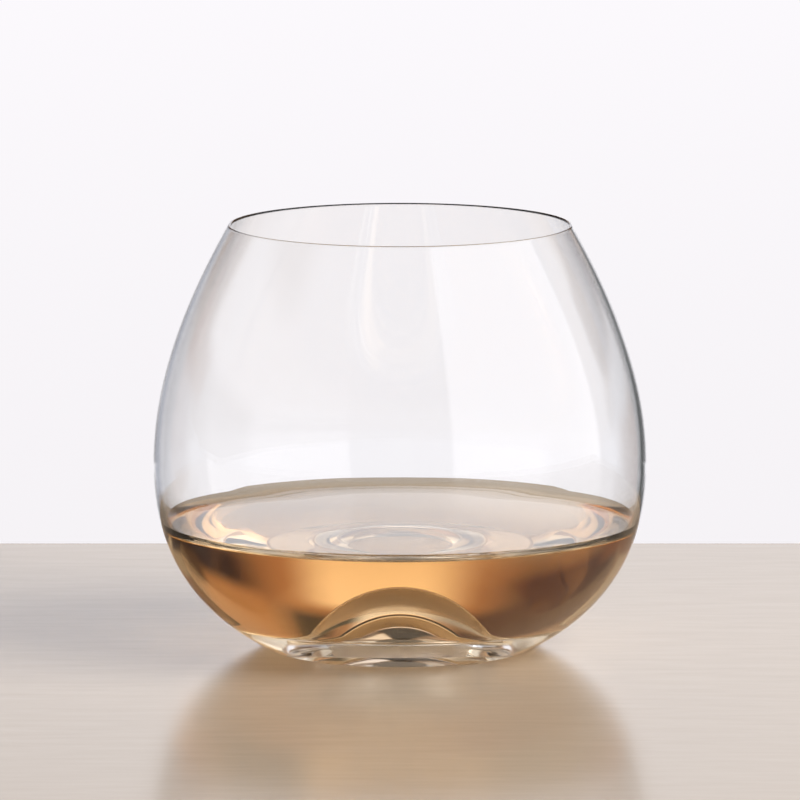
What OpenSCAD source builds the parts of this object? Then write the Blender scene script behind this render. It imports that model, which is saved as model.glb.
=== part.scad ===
// Stemless brandy snifter: a wide blown bowl that narrows to a thin rim, on a thick foot with a tall round
// punt pushed up under its floor, and a pour of brandy that stands in it.
// Both pieces are turned about Z. The origin is the centre of the foot, on the table. Millimetres.

/* [Bowl] */
// Height of the glass, from the table to the rim
height = 90.5; // [84:0.5:100]
// Outer diameter at the belly, the widest point
belly_d = 105; // [98:0.5:116]
// Height of the belly above the table
belly_z = 39.75; // [36:0.25:46]
// Outer diameter of the rim
rim_d = 73; // [64:0.5:82]
// Inward lean of the wall where it reaches the rim, in degrees from upright
rim_lean = 29; // [20:0.5:36]
// Reach of the belly's upright tangent, up into the shoulder
shoulder_pull = 21.5; // [16:0.5:28]
// Reach of the rim's lean, down into the shoulder
rim_pull = 10; // [4:0.5:16]
// Reach of the belly's upright tangent, down into the hip
hip_pull = 15; // [10:0.5:20]
// Reach of the heel's slope, up into the hip
heel_pull = 21.5; // [16:0.5:26]

/* [Foot] */
// Outer diameter of the flat ring that stands on the table
foot_d = 55.5; // [50:0.5:60]
// Radius of the heel, which rolls from the flat ring into the wall
heel_r = 2; // [1:0.25:5]
// Slope of the wall where the heel ends, in degrees above the table
heel_slope = 27.5; // [23:0.5:33]

/* [Punt] */
// Height of the hollow pushed up under the floor
punt_h = 15.25; // [12:0.25:17]
// Radius of the hollow's round crown
punt_radius = 15.5; // [14:0.5:20]
// Radius of the roll from the hollow into the flat ring
punt_roll = 3; // [1:0.25:5]

/* [Glass thickness] */
// Thickness at the rim, which is melted to a full round
rim_t = 0.6; // [0.5:0.05:1]
// Thickness at the belly
belly_t = 1; // [0.8:0.05:1.6]
// Thickness at the top of the heel
heel_t = 3; // [2.4:0.1:3.8]
// Thickness of the floor over the flat ring
floor_t = 7.5; // [6:0.25:9]
// Thickness over the crown of the punt
crown_t = 5; // [3.5:0.25:6.5]

/* [Floor] */
// Radius of the dome that the floor forms over the punt
dome_radius = 20; // [18:0.5:24]
// Radius of the roll from the dome into the flat floor
dome_roll = 4; // [2:0.5:8]
// Rise of the rounded corner between the flat floor and the wall
cove_h = 1.5; // [0.75:0.25:3]

/* [Brandy] */
// Level of the brandy above the table, away from the glass
fill_z = 26; // [24:0.25:34]
// Climb of the brandy's edge up the glass
meniscus_h = 1.8; // [1:0.1:2.4]
// Distance from the glass at which the brandy is level
meniscus_reach = 5; // [3:0.5:8]

/* [Hidden] */

// Steps along each curve of the section
wall_steps = 16;
heel_steps = 4;
lip_steps = 6;
crown_steps = 12;
roll_steps = 4;
cove_steps = 6;
meniscus_steps = 8;
// Facets shown round the axis
$fn = 120;
// How fast the wall thins above the heel, and again above the belly
thinning = 2;
// How sharply the brandy's edge curls up to the glass
meniscus_curl = 4;

glass_tint = [0.86, 0.90, 0.92, 0.35];
brandy_tint = [0.82, 0.52, 0.22, 0.85];

foot_r = foot_d / 2;
belly = [belly_d / 2, belly_z];
dome_z = punt_h + crown_t;

// Point at t, from 0 to 1, of the cubic curve p: its ends are p[0] and p[3], its handles p[1] and p[2]
function curve_point(p, t) =
    p[0] * pow(1 - t, 3) + 3 * p[1] * t * pow(1 - t, 2) + 3 * p[2] * t * t * (1 - t) + p[3] * pow(t, 3);

// Direction of that curve at t
function curve_direction(p, t) =
    (p[1] - p[0]) * pow(1 - t, 2) + 2 * (p[2] - p[1]) * t * (1 - t) + (p[3] - p[2]) * t * t;

function curve(p, steps) = [for (i = [0:steps]) curve_point(p, i / steps)];

// Cubic curve with the ends of a quadratic one whose handle is the corner
function rounded_corner(start, corner, end) =
    [start, start + (corner - start) * 2 / 3, end + (corner - end) * 2 / 3, end];

// Unit vector that points out of a wall traced upwards in the direction v
function outward(v) = [v[1], -v[0]] / norm(v);

// Inner side of a wall whose outer side is the curve p and whose thickness runs from first to last
function inner_side(p, steps, first, last, power) = [
    for (i = [0:steps])
        let (t = i / steps)
        curve_point(p, t) - outward(curve_direction(p, t)) * (last + (first - last) * pow(1 - t, power))
];

// Direction at an angle above the table
function heading(angle) = [cos(angle), sin(angle)];

// Round crown on the axis that rolls out into a flat: an arc about the axis, then the roll's arc.
// The line between the two centres crosses both arcs where they meet, so they share a tangent there.
function domed(apex, radius, roll, flat_z) =
    let (
        crown_centre = [0, apex - radius],
        rise = flat_z + roll - crown_centre[1],
        roll_centre = [sqrt(pow(radius + roll, 2) - rise * rise), flat_z + roll],
        meet = atan2(rise, roll_centre[0])
    )
    concat(
        [for (i = [0:crown_steps]) crown_centre + radius * heading(90 + (meet - 90) * i / crown_steps)],
        [for (i = [1:roll_steps]) roll_centre + roll * heading(meet + 180 + (90 - meet) * i / roll_steps)]
    );

function reversed(list) = [for (i = [len(list) - 1:-1:0]) list[i]];

// Outer side of the glass, from the crown of the punt to the rim
punt = domed(punt_h, punt_radius, punt_roll, 0);
heel = [for (i = [0:heel_steps]) [foot_r, heel_r] + heel_r * heading(heel_slope * i / heel_steps - 90)];
heel_top = heel[heel_steps];
lower_wall = [heel_top, heel_top + heel_pull * heading(heel_slope), belly - [0, hip_pull], belly];
lip_centre = [rim_d / 2 - rim_t / 2, height - rim_t / 2];
lip = [for (i = [0:lip_steps]) lip_centre + rim_t / 2 * heading(rim_lean + 180 * i / lip_steps)];
rim_edge = lip[0];
upper_wall = [belly, belly + [0, shoulder_pull], rim_edge - rim_pull * heading(90 + rim_lean), rim_edge];

// Inner side of the glass, from the crown of the floor to the rim
inner_lower = inner_side(lower_wall, wall_steps, heel_t, belly_t, thinning);
inner_upper = inner_side(upper_wall, wall_steps, belly_t, rim_t, thinning);
cove_z = floor_t + cove_h;
cove_top = [lookup(cove_z, [for (p = inner_lower) [p[1], p[0]]]), cove_z];
cove_t = lookup(cove_z, [for (i = [0:wall_steps]) [inner_lower[i][1], i / wall_steps]]);
cove_slope = curve_direction(lower_wall, cove_t);
cove_side = cove_slope * cove_h / cove_slope[1];
cove_corner = cove_top - cove_side;
cove_foot = cove_corner - [norm(cove_side), 0];
inner_floor = concat(
    domed(dome_z, dome_radius, dome_roll, floor_t),
    curve(rounded_corner(cove_foot, cove_corner, cove_top), cove_steps)
);
inner_wall = concat(
    [for (p = inner_lower) if (p[1] > cove_z) p],
    [for (i = [1:wall_steps]) inner_upper[i]]
);

// Line where the brandy meets the glass
contact_z = fill_z + meniscus_h;
contact_r = lookup(contact_z, [for (p = inner_wall) [p[1], p[0]]]);
meniscus = [
    for (i = [0:meniscus_steps])
        let (s = i / meniscus_steps)
        [contact_r - meniscus_reach * s, fill_z + meniscus_h * pow(1 - s, meniscus_curl)]
];

glass_section = concat(
    punt,
    heel,
    [for (i = [1:wall_steps]) curve_point(lower_wall, i / wall_steps)],
    [for (i = [1:wall_steps]) curve_point(upper_wall, i / wall_steps)],
    [for (i = [1:lip_steps - 1]) lip[i]],
    reversed(inner_wall),
    reversed(inner_floor)
);

brandy_section = concat(
    inner_floor,
    [for (p = inner_wall) if (p[1] < contact_z) p],
    meniscus,
    [[0, fill_z]]
);

module glass_bowl() {
    color(glass_tint)
        rotate_extrude()
            polygon(glass_section);
}

module brandy() {
    color(brandy_tint)
        rotate_extrude()
            polygon(brandy_section);
}

glass_bowl();
brandy();
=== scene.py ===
"""Looks of a stemless brandy snifter: a clear blown bowl, a pour of brandy and a plain pale stage.

The file is laid out as an add-on and run as a script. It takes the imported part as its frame, turns the two
pieces about their axis with numpy, gives each its own material and sets a camera, a floor and soft light
round them.
"""

import math
from collections import namedtuple

import bpy
import numpy as np
from bpy.props import FloatProperty, FloatVectorProperty, IntProperty, PointerProperty
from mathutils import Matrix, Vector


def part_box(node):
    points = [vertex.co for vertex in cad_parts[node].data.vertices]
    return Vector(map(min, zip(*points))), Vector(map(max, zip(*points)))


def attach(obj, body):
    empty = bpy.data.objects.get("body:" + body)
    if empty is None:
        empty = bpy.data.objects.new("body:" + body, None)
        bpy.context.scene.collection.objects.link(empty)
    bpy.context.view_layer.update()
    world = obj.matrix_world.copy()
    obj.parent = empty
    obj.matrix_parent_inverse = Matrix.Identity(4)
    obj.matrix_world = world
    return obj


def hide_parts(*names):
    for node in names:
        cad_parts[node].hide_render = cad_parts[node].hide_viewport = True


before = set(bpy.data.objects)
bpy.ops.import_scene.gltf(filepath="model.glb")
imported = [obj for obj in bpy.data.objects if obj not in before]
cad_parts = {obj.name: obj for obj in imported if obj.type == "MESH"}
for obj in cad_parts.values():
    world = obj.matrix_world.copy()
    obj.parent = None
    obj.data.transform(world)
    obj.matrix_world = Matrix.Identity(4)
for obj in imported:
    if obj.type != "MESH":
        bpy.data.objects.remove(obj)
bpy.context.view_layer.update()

bl_info = {
    "name": "Brandy Snifter",
    "version": (1, 0, 0),
    "blender": (4, 5, 0),
    "location": "3D View > Sidebar > Snifter",
    "description": "Builds a stemless brandy snifter round its packed CAD frame",
    "category": "Add Mesh",
}

MM = 0.001
GLASS_LOW, GLASS_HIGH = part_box("glass_bowl")
BRANDY_LOW, BRANDY_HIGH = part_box("brandy")

# Points along each curve of the sections
PUNT_POINTS = 49
HEEL_POINTS = 13
WALL_POINTS = 71
LIP_POINTS = 17
DRY_WALL_POINTS = 25
WET_WALL_POINTS = 51
COVE_POINTS = 13
DOME_POINTS = 61
FLAT_STEPS = 8
MENISCUS_POINTS = 33
LEVEL_POINTS = 25
# How closely the points of the meniscus crowd towards the glass
MENISCUS_CROWDING = 1.5
# Samples of the wall among which a height is found
SEARCH_POINTS = 2001
# Step of the wall's parameter over which its slope is taken
SLOPE_STEP = 0.01

# Millimetres of the camera's sensor
SENSOR_WIDTH = 36
# Most bounces of a light path, and of its glossy part
MOST_BOUNCES = 24
GLOSSY_BOUNCES = 12


def length(name, description, default):
    """A size in metres, shown in the scene's unit of length."""
    return FloatProperty(name=name, description=description, default=default, unit="LENGTH", precision=5)


def angle(name, description, degrees):
    """An angle, given in degrees and kept in radians."""
    return FloatProperty(name=name, description=description, default=math.radians(degrees), subtype="ANGLE")


def number(name, description, default):
    """A plain number."""
    return FloatProperty(name=name, description=description, default=default)


def share(name, description, default):
    """A share of a whole, from 0 to 1."""
    return FloatProperty(name=name, description=description, default=default, min=0, max=1, subtype="FACTOR")


def colour(name, description, default):
    """A linear colour."""
    return FloatVectorProperty(name=name, description=description, default=default, subtype="COLOR", size=3)


class SnifterGlassSettings(bpy.types.PropertyGroup):
    """Sizes and finish of the blown glass."""

    height: length("Height", "From the table to the rim", GLASS_HIGH.z)
    belly_diameter: length("Belly diameter", "Across the widest point", GLASS_HIGH.x - GLASS_LOW.x)
    belly_height: length("Belly height", "Height of the widest point", 39.75 * MM)
    rim_diameter: length("Rim diameter", "Across the outside of the rim", 73 * MM)
    rim_lean: angle("Rim lean", "Inward lean of the wall at the rim", 29)
    shoulder_pull: length("Shoulder pull", "Reach of the belly's tangent up the wall", 21.5 * MM)
    rim_pull: length("Rim pull", "Reach of the rim's lean down the wall", 10 * MM)
    hip_pull: length("Hip pull", "Reach of the belly's tangent down the wall", 15 * MM)
    heel_pull: length("Heel pull", "Reach of the heel's slope up the wall", 21.5 * MM)
    foot_diameter: length("Foot diameter", "Across the flat ring that stands on the table", 55.5 * MM)
    heel_radius: length("Heel radius", "Roll from the flat ring into the wall", 2 * MM)
    heel_slope: angle("Heel slope", "Slope of the wall where the heel ends", 27.5)
    punt_height: length("Punt height", "Height of the hollow under the floor", 15.25 * MM)
    punt_radius: length("Punt radius", "Radius of the hollow's round crown", 15.5 * MM)
    punt_fillet: length("Punt fillet", "Roll from the hollow into the flat ring", 3 * MM)
    rim_thickness: length("Rim thickness", "Thickness of the melted rim", 0.6 * MM)
    belly_thickness: length("Belly thickness", "Thickness of the wall at the belly", 1.0 * MM)
    heel_thickness: length("Heel thickness", "Thickness of the wall above the heel", 3.0 * MM)
    floor_thickness: length("Floor thickness", "Thickness of the floor over the flat ring", BRANDY_LOW.z)
    crown_thickness: length("Crown thickness", "Thickness of glass over the punt", 5 * MM)
    dome_radius: length("Dome radius", "Radius of the floor's round crown", 20 * MM)
    trough_fillet: length("Trough fillet", "Roll from the dome into the trough round it", 4 * MM)
    cove_height: length("Cove height", "Rise of the floor's rounded corner up the wall", 1.5 * MM)
    thinning: number("Thinning", "How fast the wall thins above the heel and above the belly", 2)
    tint: colour("Tint", "Colour that each surface of the glass lets through", (0.996, 0.998, 0.998))
    ior: number("Refraction", "Refractive index of the glass", 1.52)
    segments: IntProperty(name="Segments", description="Facets round the axis", default=192)


class SnifterBrandySettings(bpy.types.PropertyGroup):
    """Level, edge and colour of the drink."""

    edge_height: length("Edge height", "Where the brandy's edge meets the glass", BRANDY_HIGH.z)
    meniscus_climb: length("Meniscus climb", "Rise of the edge above the level", 1.8 * MM)
    meniscus_reach: length("Meniscus reach", "Distance from the glass to the level surface", 5 * MM)
    meniscus_curl: number("Meniscus curl", "How sharply the edge curls up", 4)
    wall_gap: length("Wall gap", "Gap that keeps the brandy's side clear of the glass", 0.02 * MM)
    tint: colour("Tint", "Colour that the brandy lets through", (0.908, 0.625, 0.146))
    tint_density: number("Tint density", "Strength of the tint per metre", 24)
    ior: number("Refraction", "Refractive index of the brandy", 1.36)


class SnifterStageSettings(bpy.types.PropertyGroup):
    """Camera, floor and light."""

    camera_distance: length("Camera distance", "From the camera to the point it looks at", 2.0)
    camera_elevation: angle("Camera elevation", "Height of the camera above the level", 8.39)
    look_height: length("Look height", "Height of the point in the middle of the picture", 52.8 * MM)
    view_width: length("View width", "Width of the picture at the glass", 170.2 * MM)
    floor_behind: length("Floor behind", "From the axis to the floor's far edge", 134.5 * MM)
    floor_before: length("Floor before", "From the axis to the floor's near edge", 0.9)
    floor_width: length("Floor width", "Across the floor", 1.6)
    floor_gap: length("Floor gap", "Thin layer of air between the foot and the floor", 0.02 * MM)
    board_colour: colour("Board colour", "Pale wood of the floor", (0.51, 0.42, 0.32))
    grain_colour: colour("Grain colour", "Darker lines of the floor's grain", (0.465, 0.38, 0.285))
    board_roughness: share("Board roughness", "Satin of the floor", 0.2)
    board_varnish: share("Board varnish", "Share of the floor's clear coat", 0.15)
    room_colour: colour("Room colour", "Light of the room on the camera's side", (0.97, 0.975, 1.02))
    fill_share: share("Fill share", "Share of the surround that lights the floor", 0.32)
    glow_gain: number("Glow gain", "Extra light that reaches the floor through the glass", 2.4)
    softbox_radiance: number("Softbox radiance", "Brightness of the key light's face", 7.4)
    softbox_width: length("Softbox width", "Across the key light", 1.4)
    softbox_height: length("Softbox height", "Height of the key light's face", 1.4)
    softbox_distance: length("Softbox distance", "From the glass to the key light", 1.9)
    softbox_azimuth: angle("Softbox azimuth", "Turn of the key light to the right of the camera", 65)
    softbox_elevation: angle("Softbox elevation", "Height of the key light above the level", 40)


# Curves of the section


def heading(turn):
    """Unit vector in the section at an angle above the table: (cos, sin)."""
    return np.array([math.cos(turn), math.sin(turn)])


def arc(centre, radius, turns):
    """Points of an arc: the centre plus the radius times (cos, sin) of each turn."""
    return centre + radius * np.stack([np.cos(turns), np.sin(turns)], axis=1)


def cubic(handles, t):
    """Points of a cubic curve: the ends and handles weighted by (1-t)^3, 3t(1-t)^2, 3t^2(1-t) and t^3."""
    t = np.asarray(t, float)[:, None]
    weights = np.hstack([(1 - t) ** 3, 3 * t * (1 - t) ** 2, 3 * t**2 * (1 - t), t**3])
    return weights @ np.asarray(handles)


def cubic_outward(handles, t):
    """Unit normals of that curve: its direction, the weighted handle steps, turned a quarter to the right."""
    t = np.asarray(t, float)[:, None]
    steps = np.diff(np.asarray(handles), axis=0)
    along = np.hstack([(1 - t) ** 2, 2 * t * (1 - t), t**2]) @ steps
    normal = np.stack([along[:, 1], -along[:, 0]], axis=1)
    return normal / np.linalg.norm(normal, axis=1, keepdims=True)


def inner_side(handles, t, first, last, power):
    """Inner side of a wall: outer points moved in, along normals, by last + (first - last)(1 - t)^power."""
    thickness = last + (first - last) * (1 - np.asarray(t)) ** power
    return cubic(handles, t) - cubic_outward(handles, t) * thickness[:, None]


def rounded_corner(start, corner, end):
    """Handles of a cubic that follows the quadratic curve with that corner: two thirds of the way to it."""
    return [start, start + (corner - start) * 2 / 3, end + (corner - end) * 2 / 3, end]


def domed(apex, radius, fillet, plane, points):
    """A round crown on the axis that rolls out into a plane: an arc about the axis, then the fillet's arc.

    Both arcs end where the line between their centres crosses them, so they share a tangent there. The crown
    has the given number of points and the fillet half of it.
    """
    centre = np.array([0.0, apex - radius])
    rise = plane + fillet - centre[1]
    roll_centre = np.array([math.sqrt((radius + fillet) ** 2 - rise**2), plane + fillet])
    meet = math.atan2(rise, roll_centre[0])
    crown = np.linspace(math.pi / 2, meet, points)
    roll = np.linspace(meet + math.pi, 3 * math.pi / 2, points // 2)[1:]
    dome = arc(centre, radius, crown)
    dome[0, 0] = 0.0
    return np.vstack([dome, arc(roll_centre, fillet, roll)])


def flat_run(start, end):
    """Points inside a straight run, closer near its ends: (1 - cos) / 2 of even turns over half a circle."""
    along = (1 - np.cos(np.linspace(0, math.pi, FLAT_STEPS + 1)[1:-1, None])) / 2
    return np.asarray(start) + (np.asarray(end) - np.asarray(start)) * along


def lower_inner(g, lower, t):
    """Inner side of the lower wall, which thins from the heel to the belly."""
    return inner_side(lower, t, g.heel_thickness, g.belly_thickness, g.thinning)


def wall_parameter(g, lower, height):
    """Parameter on the lower wall where its inner side is at a height, read between even samples."""
    t = np.linspace(0, 1, SEARCH_POINTS)
    return float(np.interp(height, lower_inner(g, lower, t)[:, 1], t))


def glass_curves(g):
    """Curves of the glass section, worked out from the sizes: handles of the cubics, points of the domes.

    The cove rounds the corner between the floor and the wall: it leaves the wall along its slope and the
    floor along the level, at the same distance from the corner.
    """
    belly = np.array([g.belly_diameter / 2, g.belly_height])
    heel_centre = np.array([g.foot_diameter / 2, g.heel_radius])
    heel_top = heel_centre + g.heel_radius * heading(g.heel_slope - math.pi / 2)
    lip_centre = np.array([g.rim_diameter / 2, g.height]) - g.rim_thickness / 2
    rim_edge = lip_centre + g.rim_thickness / 2 * heading(g.rim_lean)
    up = np.array([0.0, 1.0])
    lower = [heel_top, heel_top + g.heel_pull * heading(g.heel_slope), belly - g.hip_pull * up, belly]
    lean = heading(math.pi / 2 + g.rim_lean)
    upper = [belly, belly + g.shoulder_pull * up, rim_edge - g.rim_pull * lean, rim_edge]
    punt = domed(g.punt_height, g.punt_radius, g.punt_fillet, 0.0, PUNT_POINTS)
    crown_height = g.punt_height + g.crown_thickness
    dome = domed(crown_height, g.dome_radius, g.trough_fillet, g.floor_thickness, DOME_POINTS)
    start = wall_parameter(g, lower, g.floor_thickness + g.cove_height)
    cove_top, above = lower_inner(g, lower, [start, start + SLOPE_STEP])
    run = g.cove_height * (above[0] - cove_top[0]) / (above[1] - cove_top[1])
    corner = np.array([cove_top[0] - run, g.floor_thickness])
    cove_foot = corner - np.array([math.hypot(run, g.cove_height), 0.0])
    cove = rounded_corner(cove_foot, corner, cove_top)
    return {
        "punt": punt,
        "heel_centre": heel_centre,
        "lower": lower,
        "upper": upper,
        "lip_centre": lip_centre,
        "dome": dome,
        "cove": cove,
        "start": start,
    }


def wetted_section(g, b):
    """Inner side of the glass under the brandy, from the floor's crown out and up to the brandy's edge."""
    curves = glass_curves(g)
    edge = wall_parameter(g, curves["lower"], b.edge_height)
    cove = cubic(curves["cove"], np.linspace(0, 1, COVE_POINTS))
    wall = lower_inner(g, curves["lower"], np.linspace(curves["start"], edge, WET_WALL_POINTS)[1:])
    return np.vstack([curves["dome"], flat_run(curves["dome"][-1], cove[0]), cove, wall])


def glass_section(g, b):
    """Closed section of the glass and, for each step along it, whether the brandy wets it."""
    curves = glass_curves(g)
    edge = wall_parameter(g, curves["lower"], b.edge_height)
    t = np.linspace(0, 1, WALL_POINTS)
    roll = np.linspace(-math.pi / 2, g.heel_slope - math.pi / 2, HEEL_POINTS)
    heel = arc(curves["heel_centre"], g.heel_radius, roll)
    turn = g.rim_lean + np.linspace(0, math.pi, LIP_POINTS)[1:-1]
    lip = arc(curves["lip_centre"], g.rim_thickness / 2, turn)
    dry_lower = lower_inner(g, curves["lower"], np.linspace(1, edge, DRY_WALL_POINTS)[1:-1])
    dry = np.vstack([
        curves["punt"],
        flat_run(curves["punt"][-1], heel[0]),
        heel,
        cubic(curves["lower"], t[1:]),
        cubic(curves["upper"], t[1:]),
        lip,
        inner_side(curves["upper"], t[::-1], g.belly_thickness, g.rim_thickness, g.thinning),
        dry_lower,
    ])
    wet = wetted_section(g, b)[::-1]
    points = np.vstack([dry, wet])
    wetted = np.arange(len(points) - 1) >= len(dry)
    return points, wetted


def section_normals(points):
    """Normals of a section: the direction between each point's neighbours, turned a quarter to the right."""
    along = np.gradient(points, axis=0)
    normal = np.stack([along[:, 1], -along[:, 0]], axis=1)
    return normal / np.linalg.norm(normal, axis=1, keepdims=True)


def brandy_section(g, b):
    """Closed section of the brandy and, for each step along it, whether it is the free surface.

    The side follows the wetted glass at the wall gap. The surface is the level plus the climb times
    (1 - s)^curl, where s runs from 0 at the glass to 1 at the meniscus's reach.
    """
    wall = wetted_section(g, b)
    into_glass = section_normals(wall)
    side = wall - into_glass * b.wall_gap
    side[0, 0] = 0.0
    edge = side[-1]
    s = np.linspace(0, 1, MENISCUS_POINTS)[1:] ** MENISCUS_CROWDING
    level = b.edge_height - b.meniscus_climb
    climb = edge[1] - level
    meniscus = np.stack([edge[0] - b.meniscus_reach * s, level + climb * (1 - s) ** b.meniscus_curl], axis=1)
    flat = np.linspace(meniscus[-1, 0], 0.0, LEVEL_POINTS)[1:]
    surface = np.vstack([meniscus, np.stack([flat, np.full_like(flat, level)], axis=1)])
    points = np.vstack([side, surface])
    free = np.arange(len(points) - 1) >= len(side) - 1
    return points, free


def turned_piece(name, section, segments):
    """Mesh object turned about Z: a section point (r, z) at angle a is (r cos a, r sin a, z).

    The section starts and ends on the axis, where fans of triangles close the mesh.
    """
    turn = np.linspace(0, 2 * math.pi, segments, endpoint=False)
    r = section[1:-1, 0][:, None]
    z = section[1:-1, 1][:, None]
    rings = np.stack([r * np.cos(turn), r * np.sin(turn), z + 0 * turn], axis=2).reshape(-1, 3)
    poles = np.array([[0, 0, section[0, 1]], [0, 0, section[-1, 1]]])
    verts = np.vstack([rings, poles])
    rows = len(section) - 2
    here = np.arange(segments)
    there = (here + 1) % segments
    base = np.arange(rows - 1)[:, None] * segments
    corners = [base + here, base + there, base + segments + there, base + segments + here]
    quads = np.stack(corners, axis=2).reshape(-1, 4)
    first, last = rows * segments, rows * segments + 1
    top = (rows - 1) * segments
    start = np.stack([np.full(segments, first), there, here], axis=1)
    end = np.stack([top + here, top + there, np.full(segments, last)], axis=1)
    loops = np.concatenate([start.ravel(), quads.ravel(), end.ravel()]).astype(np.int32)
    sizes = np.concatenate([np.full(segments, 3), np.full(len(quads), 4), np.full(segments, 3)])
    mesh = bpy.data.meshes.new(name)
    mesh.vertices.add(len(verts))
    mesh.vertices.foreach_set("co", verts.astype(np.float32).ravel())
    mesh.loops.add(len(loops))
    mesh.loops.foreach_set("vertex_index", loops)
    mesh.polygons.add(len(sizes))
    mesh.polygons.foreach_set("loop_start", np.concatenate([[0], np.cumsum(sizes)[:-1]]).astype(np.int32))
    mesh.update(calc_edges=True)
    mesh.polygons.foreach_set("use_smooth", np.ones(len(sizes), bool))
    mesh.validate()
    piece = bpy.data.objects.new(name, mesh)
    bpy.context.scene.collection.objects.link(piece)
    return piece


def sharpen_ring(mesh, ring, segments):
    """Marks the edges of one ring of a turned mesh as sharp: both their points lie in that ring."""
    ends = np.empty(len(mesh.edges) * 2, np.int32)
    mesh.edges.foreach_get("vertices", ends)
    sharp = np.all(ends.reshape(-1, 2) // segments == ring, axis=1)
    mesh.attributes.new("sharp_edge", "BOOLEAN", "EDGE").data.foreach_set("value", sharp)


def face_steps(flags, segments):
    """A flag for each step of a section, repeated for each face that the step is turned into."""
    return np.repeat(np.asarray(flags), segments)


# Materials


def new_material(name):
    """An empty node material and its output."""
    material = bpy.data.materials.new(name)
    material.use_nodes = True
    nodes = material.node_tree.nodes
    nodes.clear()
    return material, nodes, material.node_tree.links, nodes.new("ShaderNodeOutputMaterial")


# Slow waves of a blown wall and of a drink at rest: stretch along each axis, waves to the metre, and height
Waves = namedtuple("Waves", "stretch per_metre height")
WALL_WAVES = Waves((1.0, 1.0, 0.45), 55, 0.03 * MM)
SURFACE_WAVES = Waves((1.0, 1.0, 1.0), 70, 0.004 * MM)
# Finer layers of noise in those waves
WAVE_DETAIL = 1.0
# Grain of the board: stretch along each axis, scale, detail and roughness of its noise, the levels of the
# noise that are dark and pale, and the strength and height of its bump
Grain = namedtuple("Grain", "stretch scale detail roughness dark pale bump_strength bump_height")
BOARD_GRAIN = Grain((7, 42, 1), 6, 6, 0.62, 0.3, 0.7, 0.08, 0.05 * MM)


def soft_waves(nodes, links, waves):
    """Normal of a surface with slow, shallow waves: smooth noise on Object coordinates as a bump."""
    place = nodes.new("ShaderNodeTexCoord")
    stretch = nodes.new("ShaderNodeMapping")
    stretch.inputs["Scale"].default_value = waves.stretch
    noise = nodes.new("ShaderNodeTexNoise")
    noise.inputs["Scale"].default_value = waves.per_metre
    noise.inputs["Detail"].default_value = WAVE_DETAIL
    bump = nodes.new("ShaderNodeBump")
    bump.inputs["Distance"].default_value = waves.height
    links.new(place.outputs["Object"], stretch.inputs["Vector"])
    links.new(stretch.outputs["Vector"], noise.inputs["Vector"])
    links.new(noise.outputs["Fac"], bump.inputs["Height"])
    return bump.outputs["Normal"]


def glass_material(name, tint, ior):
    """Clear glass with the faint waves of a blown wall."""
    material, nodes, links, output = new_material(name)
    shader = nodes.new("ShaderNodeBsdfPrincipled")
    shader.inputs["Base Color"].default_value = (*tint, 1)
    shader.inputs["Transmission Weight"].default_value = 1.0
    shader.inputs["IOR"].default_value = ior
    shader.inputs["Roughness"].default_value = 0.0
    links.new(soft_waves(nodes, links, WALL_WAVES), shader.inputs["Normal"])
    links.new(shader.outputs["BSDF"], output.inputs["Surface"])
    return material


def brandy_material(b):
    """Amber liquid: refracts at its free surface and tints the light by the length of its path.

    Its side has an index of 1, because the wetted faces of the glass bend the light between glass and brandy.
    """
    material, nodes, links, output = new_material("brandy")
    shader = nodes.new("ShaderNodeBsdfPrincipled")
    shader.inputs["Base Color"].default_value = (1, 1, 1, 1)
    shader.inputs["Transmission Weight"].default_value = 1.0
    shader.inputs["Roughness"].default_value = 0.0
    free = nodes.new("ShaderNodeAttribute")
    free.attribute_name = "free_surface"
    index = nodes.new("ShaderNodeMapRange")
    index.inputs["To Min"].default_value = 1.0
    index.inputs["To Max"].default_value = b.ior
    links.new(free.outputs["Fac"], index.inputs["Value"])
    links.new(index.outputs["Result"], shader.inputs["IOR"])
    links.new(soft_waves(nodes, links, SURFACE_WAVES), shader.inputs["Normal"])
    tint = nodes.new("ShaderNodeVolumeAbsorption")
    tint.inputs["Color"].default_value = (*b.tint, 1)
    tint.inputs["Density"].default_value = b.tint_density
    links.new(shader.outputs["BSDF"], output.inputs["Surface"])
    links.new(tint.outputs["Volume"], output.inputs["Volume"])
    return material


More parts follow.
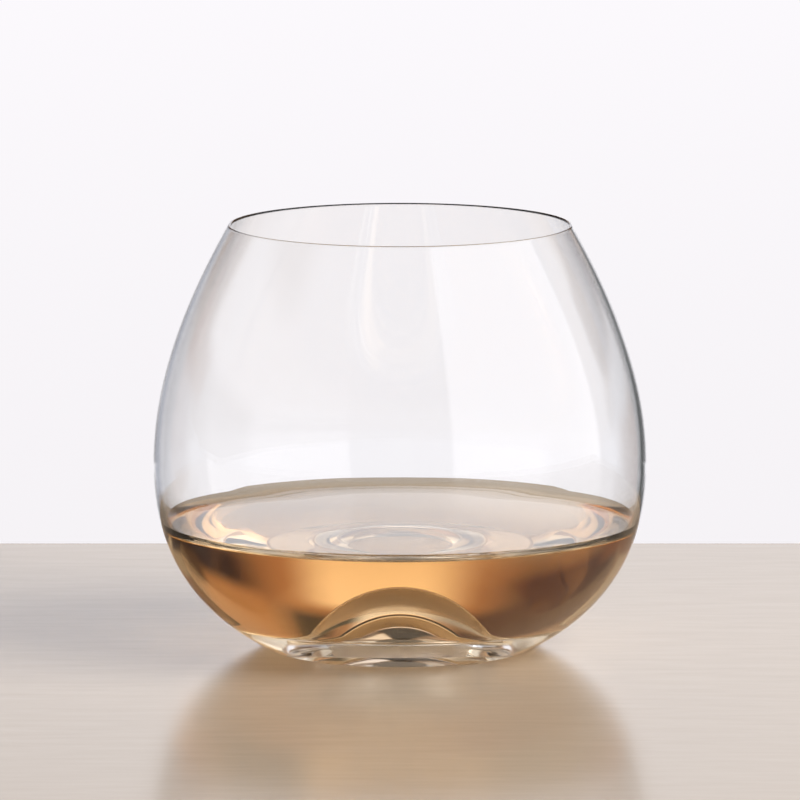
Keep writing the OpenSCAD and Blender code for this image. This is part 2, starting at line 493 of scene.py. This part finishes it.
def board_material(s):
    """Pale satin wood: fine grain that runs across the picture, as colour and a shallow bump."""
    material, nodes, links, output = new_material("pale_board")
    shader = nodes.new("ShaderNodeBsdfPrincipled")
    shader.inputs["Roughness"].default_value = s.board_roughness
    shader.inputs["Coat Weight"].default_value = s.board_varnish
    shader.inputs["Coat Roughness"].default_value = s.board_roughness
    place = nodes.new("ShaderNodeTexCoord")
    stretch = nodes.new("ShaderNodeMapping")
    stretch.inputs["Scale"].default_value = BOARD_GRAIN.stretch
    grain = nodes.new("ShaderNodeTexNoise")
    grain.inputs["Scale"].default_value = BOARD_GRAIN.scale
    grain.inputs["Detail"].default_value = BOARD_GRAIN.detail
    grain.inputs["Roughness"].default_value = BOARD_GRAIN.roughness
    shades = nodes.new("ShaderNodeValToRGB")
    dark, pale = shades.color_ramp.elements
    dark.position = BOARD_GRAIN.dark
    dark.color = (*s.grain_colour, 1)
    pale.position = BOARD_GRAIN.pale
    pale.color = (*s.board_colour, 1)
    bump = nodes.new("ShaderNodeBump")
    bump.inputs["Strength"].default_value = BOARD_GRAIN.bump_strength
    bump.inputs["Distance"].default_value = BOARD_GRAIN.bump_height
    links.new(place.outputs["Object"], stretch.inputs["Vector"])
    links.new(stretch.outputs["Vector"], grain.inputs["Vector"])
    links.new(grain.outputs["Fac"], shades.inputs["Fac"])
    links.new(shades.outputs["Color"], shader.inputs["Base Color"])
    links.new(grain.outputs["Fac"], bump.inputs["Height"])
    links.new(bump.outputs["Normal"], shader.inputs["Normal"])
    links.new(shader.outputs["BSDF"], output.inputs["Surface"])
    return material


# Operators


class SNIFTER_OT_glass(bpy.types.Operator):
    """Blow the glass: one closed wall of revolution, with the faces under the brandy marked as wetted"""

    bl_idname = "snifter.glass"
    bl_label = "Glass Bowl"

    def execute(self, context):
        g, b = context.scene.snifter_glass, context.scene.snifter_brandy
        section, wetted = glass_section(g, b)
        piece = turned_piece("blown_glass", section, g.segments)
        piece.data.materials.append(glass_material("clear_glass", g.tint, g.ior))
        piece.data.materials.append(glass_material("wetted_glass", g.tint, g.ior / b.ior))
        piece.data.polygons.foreach_set("material_index", face_steps(wetted, g.segments).astype(np.int32))
        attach(piece, "root")
        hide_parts("glass_bowl")
        return {"FINISHED"}


class SNIFTER_OT_brandy(bpy.types.Operator):
    """Pour the brandy: a closed body that fills the glass to its level, with a meniscus at the wall"""

    bl_idname = "snifter.brandy"
    bl_label = "Brandy"

    def execute(self, context):
        g, b = context.scene.snifter_glass, context.scene.snifter_brandy
        section, free = brandy_section(g, b)
        piece = turned_piece("poured_brandy", section, g.segments)
        # The section's first point is the pole, so its point 1 is ring 0
        edge_ring = int(np.argmax(free)) - 1
        sharpen_ring(piece.data, edge_ring, g.segments)
        mark = piece.data.attributes.new("free_surface", "FLOAT", "FACE")
        mark.data.foreach_set("value", face_steps(free, g.segments).astype(np.float32))
        piece.data.materials.append(brandy_material(b))
        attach(piece, "root")
        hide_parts("brandy")
        return {"FINISHED"}


class SNIFTER_OT_stage(bpy.types.Operator):
    """Set the stage: camera, pale floor, a studio round them and a soft key light"""

    bl_idname = "snifter.stage"
    bl_label = "Stage"

    def execute(self, context):
        s = context.scene.snifter_stage
        add_camera(s)
        add_floor(s)
        add_softbox(s)
        add_surround(s)
        context.scene.view_settings.view_transform = "Standard"
        context.scene.cycles.max_bounces = MOST_BOUNCES
        context.scene.cycles.transmission_bounces = MOST_BOUNCES
        context.scene.cycles.glossy_bounces = GLOSSY_BOUNCES
        return {"FINISHED"}


def add_camera(s):
    """Camera in front of the glass, looking along +Y and a little down.

    Its lens is the sensor's width times the distance over the width of the view.
    """
    data = bpy.data.cameras.new("camera")
    data.sensor_width = SENSOR_WIDTH
    data.lens = data.sensor_width * s.camera_distance / s.view_width
    camera = bpy.data.objects.new("camera", data)
    camera.location = (0, -s.camera_distance * math.cos(s.camera_elevation),
                       s.look_height + s.camera_distance * math.sin(s.camera_elevation))
    camera.rotation_euler = (math.pi / 2 - s.camera_elevation, 0, 0)
    bpy.context.scene.collection.objects.link(camera)
    bpy.context.scene.camera = camera


def add_floor(s):
    """Flat board under the glass, with its far edge behind it."""
    x = np.array([-1, 1, 1, -1]) * s.floor_width / 2
    y = np.array([-s.floor_before, -s.floor_before, s.floor_behind, s.floor_behind])
    mesh = bpy.data.meshes.new("floor")
    mesh.from_pydata(np.stack([x, y, 0 * x - s.floor_gap], axis=1).tolist(), [], [[0, 1, 2, 3]])
    floor = bpy.data.objects.new("floor", mesh)
    bpy.context.scene.collection.objects.link(floor)
    mesh.materials.append(board_material(s))


def add_softbox(s):
    """Large key light on the right, for the floor alone: the glass shows the softbox card of the surround.

    Its power is its radiance times pi times the area of its face.
    """
    data = bpy.data.lights.new("softbox", "AREA")
    data.shape = "RECTANGLE"
    data.size, data.size_y = s.softbox_width, s.softbox_height
    data.energy = s.softbox_radiance * math.pi * data.size * data.size_y
    light = bpy.data.objects.new("softbox", data)
    level = s.softbox_distance * math.cos(s.softbox_elevation)
    light.location = (level * math.sin(s.softbox_azimuth), -level * math.cos(s.softbox_azimuth),
                      s.softbox_distance * math.sin(s.softbox_elevation))
    light.rotation_euler = (math.pi / 2 - s.softbox_elevation, 0, s.softbox_azimuth)
    light.visible_camera = False
    light.visible_glossy = False
    light.visible_transmission = False
    bpy.context.scene.collection.objects.link(light)


# Cards round the glass, each laid over those before it. Azimuths run from -180 to 180 degrees, with 0 behind
# the glass and 90 on its right, elevations from the level, and edges fade over the soft widths.
Card = namedtuple("Card", "name colour azimuths elevations soft_sides soft_ends")
CARDS = (
    Card("back wall", (0.26, 0.17, 0.115), (-56, 54), (-90, 120), 14, 6),
    Card("ceiling", (0.18, 0.16, 0.145), (-200, 200), (64, 120), 10, 8),
    Card("left wall", (0.42, 0.42, 0.44), (-104, -50), (-90, 12), 12, 6),
    Card("left shade", (0.28, 0.25, 0.23), (-112, -64), (31, 52), 24, 10),
    Card("left return", (0.44, 0.45, 0.50), (-60, 0), (-90, 5), 12, 6),
    Card("left flag", (0.07, 0.025, 0.012), (-52, -4), (9, 26), 12, 4),
    Card("left bar", (0.19, 0.08, 0.035), (-66, -40), (5, 12), 6, 3),
    Card("left window", (1.0, 0.86, 0.76), (-30, -11), (33, 60), 4, 4),
    Card("right window", (0.6, 0.5, 0.42), (28, 85), (44, 62), 8, 5),
    Card("dark gap", (0.008, 0.004, 0.002), (-10, 17), (14, 68), 4, 4),
    Card("right return", (0.095, 0.1, 0.1), (0, 32), (-90, 6), 8, 4),
    Card("right flag", (0.025, 0.008, 0.005), (0, 59), (6, 15), 6, 4),
    Card("right fill", (0.55, 0.55, 0.57), (31, 62), (-1, 5.5), 6, 3),
    Card("upper glow", (0.55, 0.335, 0.205), (20, 43), (13.5, 33), 8, 5),
    Card("right mask", (0.1, 0.06, 0.04), (40, 60), (10, 17.5), 5, 3),
    Card("warm edge", (0.5, 0.3, 0.19), (-14.5, 22.5), (3, 15.5), 14, 4),
    Card("backdrop", (1.32, 1.305, 1.37), (-7, 12.5), (-90, 13.5), 10, 3),
    Card("backdrop foot", (0.905, 0.88, 0.905), (-13, 10), (-90, 0), 10, 24),
    Card("softbox", (1.92, 1.91, 1.97), (72, 155), (-40, 52), 3, 4),
)


def value_node(tree, operation, first, second=0.0):
    """Output of a Math node whose inputs are numbers or other outputs."""
    node = tree.nodes.new("ShaderNodeMath")
    node.operation = operation
    for socket, value in zip(node.inputs, (first, second)):
        if isinstance(value, bpy.types.NodeSocket):
            tree.links.new(value, socket)
        else:
            socket.default_value = value
    return node.outputs["Value"]


def soft_step(tree, value, middle, width):
    """Share that rises smoothly from 0 to 1 while the value crosses the middle, over the given width."""
    node = tree.nodes.new("ShaderNodeMapRange")
    node.interpolation_type = "SMOOTHSTEP"
    node.inputs["From Min"].default_value = middle - width / 2
    node.inputs["From Max"].default_value = middle + width / 2
    tree.links.new(value, node.inputs["Value"])
    return node.outputs["Result"]


def soft_span(tree, value, span, width):
    """Share that is 1 inside a span and 0 outside it: the rise at its start less the rise at its end."""
    rise, fall = (soft_step(tree, value, end, width) for end in span)
    return value_node(tree, "SUBTRACT", rise, fall)


def studio_colour(tree, room_colour):
    """Colour in each direction: the room's, then each card mixed in by its spans of azimuth and elevation."""
    direction = tree.nodes.new("ShaderNodeSeparateXYZ")
    tree.links.new(tree.nodes.new("ShaderNodeTexCoord").outputs["Generated"], direction.inputs["Vector"])
    x, y, z = direction.outputs
    azimuth = value_node(tree, "DEGREES", value_node(tree, "ARCTAN2", x, y))
    elevation = value_node(tree, "DEGREES", value_node(tree, "ARCSINE", z))
    room = tree.nodes.new("ShaderNodeRGB").outputs["Color"]
    room.default_value = (*room_colour, 1)
    seen = room
    for card in CARDS:
        across = soft_span(tree, azimuth, card.azimuths, card.soft_sides)
        upward = soft_span(tree, elevation, card.elevations, card.soft_ends)
        mix = tree.nodes.new("ShaderNodeMixRGB")
        mix.inputs["Color2"].default_value = (*card.colour, 1)
        tree.links.new(value_node(tree, "MULTIPLY", across, upward), mix.inputs["Fac"])
        tree.links.new(seen, mix.inputs["Color1"])
        seen = mix.outputs["Color"]
    return seen


def add_surround(s):
    """World: the studio's room, backdrop, flags and softbox, at full strength for the eye, gloss and glass.

    The floor is lit by a share of it, so that the key light's shadow shows. Light that falls on the floor
    through the glass has a gain instead, because the key light itself stops at the glass.
    """
    world = bpy.data.worlds.new("surround")
    bpy.context.scene.world = world
    world.use_nodes = True
    tree = world.node_tree
    tree.nodes.clear()
    background = tree.nodes.new("ShaderNodeBackground")
    tree.links.new(studio_colour(tree, s.room_colour), background.inputs["Color"])
    path = tree.nodes.new("ShaderNodeLightPath").outputs
    mirrored = value_node(tree, "MAXIMUM", path["Is Glossy Ray"], path["Is Transmission Ray"])
    seen = value_node(tree, "MAXIMUM", path["Is Camera Ray"], mirrored)
    on_floor = value_node(tree, "MINIMUM", path["Diffuse Depth"], 1.0)
    through_glass = value_node(tree, "MULTIPLY", on_floor, path["Is Transmission Ray"])
    glow = value_node(tree, "MULTIPLY", through_glass, s.glow_gain)
    strength = value_node(tree, "ADD", value_node(tree, "MAXIMUM", seen, s.fill_share), glow)
    tree.links.new(strength, background.inputs["Strength"])
    output = tree.nodes.new("ShaderNodeOutputWorld")
    tree.links.new(background.outputs["Background"], output.inputs["Surface"])


class VIEW3D_PT_snifter(bpy.types.Panel):
    """Lists the steps that build the snifter"""

    bl_label = "Snifter"
    bl_space_type = "VIEW_3D"
    bl_region_type = "UI"
    bl_category = "Snifter"

    def draw(self, context):
        for operator in OPERATORS:
            self.layout.operator(operator.bl_idname)


OPERATORS = (SNIFTER_OT_glass, SNIFTER_OT_brandy, SNIFTER_OT_stage)
CLASSES = (SnifterGlassSettings, SnifterBrandySettings, SnifterStageSettings, *OPERATORS, VIEW3D_PT_snifter)


def register():
    for cls in CLASSES:
        bpy.utils.register_class(cls)
    bpy.types.Scene.snifter_glass = PointerProperty(type=SnifterGlassSettings)
    bpy.types.Scene.snifter_brandy = PointerProperty(type=SnifterBrandySettings)
    bpy.types.Scene.snifter_stage = PointerProperty(type=SnifterStageSettings)


def unregister():
    del bpy.types.Scene.snifter_stage
    del bpy.types.Scene.snifter_brandy
    del bpy.types.Scene.snifter_glass
    for cls in reversed(CLASSES):
        bpy.utils.unregister_class(cls)


def main():
    """Registers the classes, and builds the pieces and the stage."""
    register()
    bpy.ops.snifter.glass()
    bpy.ops.snifter.brandy()
    bpy.ops.snifter.stage()


if __name__ == "__main__":
    main()
